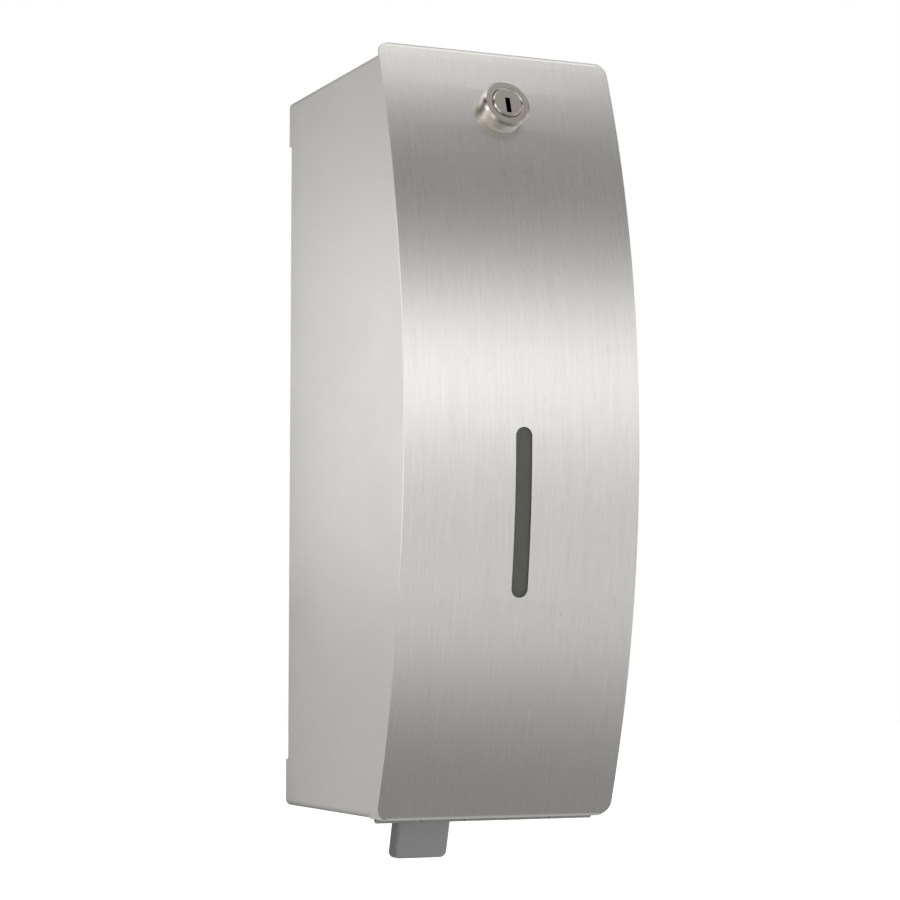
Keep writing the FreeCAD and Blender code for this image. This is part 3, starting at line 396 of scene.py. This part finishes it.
def studio_air():
    """White to the eye, and for everything the object mirrors a soft room: in front a bright belt
    a little above the horizon and a bright ceiling, behind an even dimmer wall."""
    world = bpy.data.worlds.new("studio")
    bpy.context.scene.world = world
    world.use_nodes = True
    tree = world.node_tree
    tree.nodes.clear()
    place = add(tree, "TexCoord").outputs["Generated"]
    axes = add(tree, "SeparateXYZ", {"Vector": place})
    sine = add(tree, "MapRange", {"Value": axes.outputs["Z"], "From Min": -1.0, "From Max": 1.0}).outputs[0]
    ramp = add(tree, "ValToRGB", {"Fac": sine})
    elements = ramp.color_ramp.elements
    while len(elements) < len(FRONT_ROOM):
        elements.new(0.5)
    for element, (degrees, level) in zip(elements, FRONT_ROOM):
        element.position = (math.sin(math.radians(degrees)) + 1) / 2
        level = level / BRIGHTEST
        element.color = (level, level * 0.995, level * 0.985, 1)
    aside = between(tree, axes.outputs["X"], 0.0, 0.5, 0.395, 0.60)
    behind = between(tree, axes.outputs["Y"], 0.0, 1.0, -0.1, 0.5)
    both = ramp
    for share, level in ((aside, EVEN_ROOM / BRIGHTEST), (behind, REAR_ROOM / BRIGHTEST)):
        mixed = add(tree, "Mix", data_type="RGBA")
        tree.links.new(share, mixed.inputs[0])
        tree.links.new(both.outputs[2 if both is not ramp else "Color"], mixed.inputs[6])
        mixed.inputs[7].default_value = (level, level * 0.995, level * 0.985, 1)
        both = mixed
    seen = add(tree, "LightPath").outputs["Is Camera Ray"]
    room = add(tree, "Background", {"Color": both.outputs[2], "Strength": BRIGHTEST})
    white = add(tree, "Background", {"Color": (1, 1, 1, 1), "Strength": 1.0})
    mix = add(tree, "MixShader", {0: seen})
    tree.links.new(room.outputs[0], mix.inputs[1])
    tree.links.new(white.outputs[0], mix.inputs[2])
    output = tree.nodes.new("ShaderNodeOutputWorld")
    tree.links.new(mix.outputs[0], output.inputs["Surface"])


def stage_sheet(name, points, faces, paint, unseen_by=()):
    """A flat piece of the studio, from points in metres, hidden from the given kinds of ray."""
    mesh = bpy.data.meshes.new(name)
    mesh.from_pydata(points, [], faces)
    mesh.materials.append(paint)
    sheet = bpy.data.objects.new(name, mesh)
    bpy.context.scene.collection.objects.link(sheet)
    for ray in unseen_by:
        setattr(sheet, "visible_" + ray, False)


def stage_paint(name, low_hex, high_hex, speck_mm, glow=0.0):
    """A dull paint for a studio piece, with barely visible specks."""
    made, tree = material(name)
    speck = grain(tree, (speck_mm,) * 3)
    shader = add(tree, "BsdfPrincipled", {
        "Base Color": tinted(tree, speck, low_hex, high_hex),
        "Roughness": 0.9,
        "Emission Color": (1, 1, 1, 1),
        "Emission Strength": glow,
    })
    finish_material(tree, shader)
    return made


def studio():
    """A pale floor, a grey card on the right for the metal to mirror, a dark flag beside and below
    the lever, and one soft light on the left side."""
    floor_z = CAD_BOX[0][2] - FLOOR_DROP
    corners = [(-FLOOR_REACH, -FLOOR_REACH), (FLOOR_REACH, -FLOOR_REACH), (FLOOR_REACH, FLOOR_REACH),
               (-FLOOR_REACH, FLOOR_REACH)]
    stage_sheet("studio_floor", [(x, y, floor_z) for x, y in corners], [(0, 1, 2, 3)],
                stage_paint("pale studio floor", "F6F6F6", "FAFAFA", 200.0, 0.55), ("glossy",))
    left, right, card_y, card_z = -0.078, 0.25, 0.06, 0.35
    stage_sheet("grey_card", [(left, card_y, -card_z), (right, card_y, -card_z), (right, card_y, card_z),
                              (left, card_y, card_z)], [(0, 1, 2, 3)],
                stage_paint("grey card", "7C7C7C", "848484", 50.0), ("camera", "diffuse", "shadow"))
    left, right, front, rear, foot, top = -0.09, 0.06, -0.09, 0.02, -0.26, -0.16
    stage_sheet("dark_flag", [(left, front, foot), (left, rear, foot), (left, rear, top), (left, front, top),
                              (right, front, foot), (right, rear, foot)], [(0, 1, 2, 3), (0, 4, 5, 1)],
                stage_paint("black flag", "0C0C0C", "121212", 50.0), ("camera", "glossy", "shadow"))
    soft_box("side_fill", (-0.265, 0.14, 0.048), (-0.052, -0.11, 0.048), 0.20, 0.20, 0.108)


def camera():
    data = bpy.data.cameras.new("camera")
    data.lens = LENS_MM
    data.sensor_width = 36
    data.shift_x, data.shift_y = CAMERA_SHIFT
    holder = bpy.data.objects.new("camera", data)
    bpy.context.scene.collection.objects.link(holder)
    holder.location = CAMERA_PLACE
    holder.rotation_euler = (math.pi / 2 + CAMERA_PITCH, CAMERA_ROLL, -CAMERA_YAW)
    bpy.context.scene.camera = holder


dress_frame()
springs()
studio_air()
studio()
camera()
bpy.context.scene.view_settings.view_transform = "Standard"
